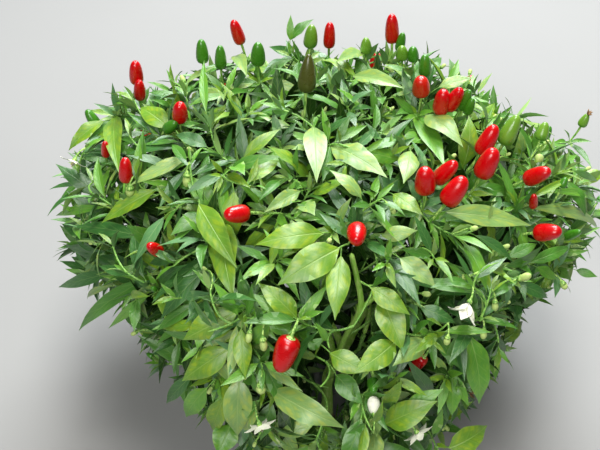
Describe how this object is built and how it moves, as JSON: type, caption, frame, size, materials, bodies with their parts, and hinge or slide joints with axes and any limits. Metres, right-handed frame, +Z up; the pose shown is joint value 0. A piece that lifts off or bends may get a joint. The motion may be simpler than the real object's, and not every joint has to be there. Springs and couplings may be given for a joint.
{
  "type": "chilli pepper plant",
  "caption": "Low, bushy chilli pepper plant with a leaning green stem, forking boughs, a dense dome of pointed leaves, upright pods and a few nodding star-shaped flowers, rooted in the ground.",
  "frame": {"origin": "middle of the flat cut under the main stem, at ground level", "axes": "+Z up from the ground, -Y towards the side that is looked at, +X to its right along the crown's longer width"},
  "size_m": [0.3981, 0.3248, 0.2951],
  "materials": {
    "stem": "green, softly glossy herbaceous stem",
    "foliage": "green leaves with red and green pods and white blossom"
  },
  "bodies": {
    "root": {"main_stem": "stem", "bough_back": "stem", "bough_front_left": "stem", "bough_front_right": "stem", "bough_left": "stem", "bough_right": "stem", "branch_shoulder_1": "stem", "branch_shoulder_2": "stem", "branch_shoulder_3": "stem", "branch_shoulder_4": "stem", "branch_shoulder_5": "stem", "branch_shoulder_6": "stem", "branch_shoulder_7": "stem", "branch_skirt_1": "stem", "branch_skirt_2": "stem", "branch_skirt_3": "stem", "branch_skirt_4": "stem", "branch_skirt_5": "stem", "branch_skirt_6": "stem", "branch_skirt_7": "stem", "branch_skirt_8": "stem", "branch_top_1": "stem", "branch_upper_1": "stem", "branch_upper_2": "stem", "branch_upper_3": "stem", "branch_upper_4": "stem", "branch_upper_5": "stem", "foliage_shoulder_1": "foliage", "foliage_shoulder_2": "foliage", "foliage_shoulder_3": "foliage", "foliage_shoulder_4": "foliage", "foliage_shoulder_5": "foliage", "foliage_shoulder_6": "foliage", "foliage_shoulder_7": "foliage", "foliage_skirt_1": "foliage", "foliage_skirt_2": "foliage", "foliage_skirt_3": "foliage", "foliage_skirt_4": "foliage", "foliage_skirt_5": "foliage", "foliage_skirt_6": "foliage", "foliage_skirt_7": "foliage", "foliage_skirt_8": "foliage", "foliage_top_1": "foliage", "foliage_upper_1": "foliage", "foliage_upper_2": "foliage", "foliage_upper_3": "foliage", "foliage_upper_4": "foliage", "foliage_upper_5": "foliage"}
  },
  "joints": []
}
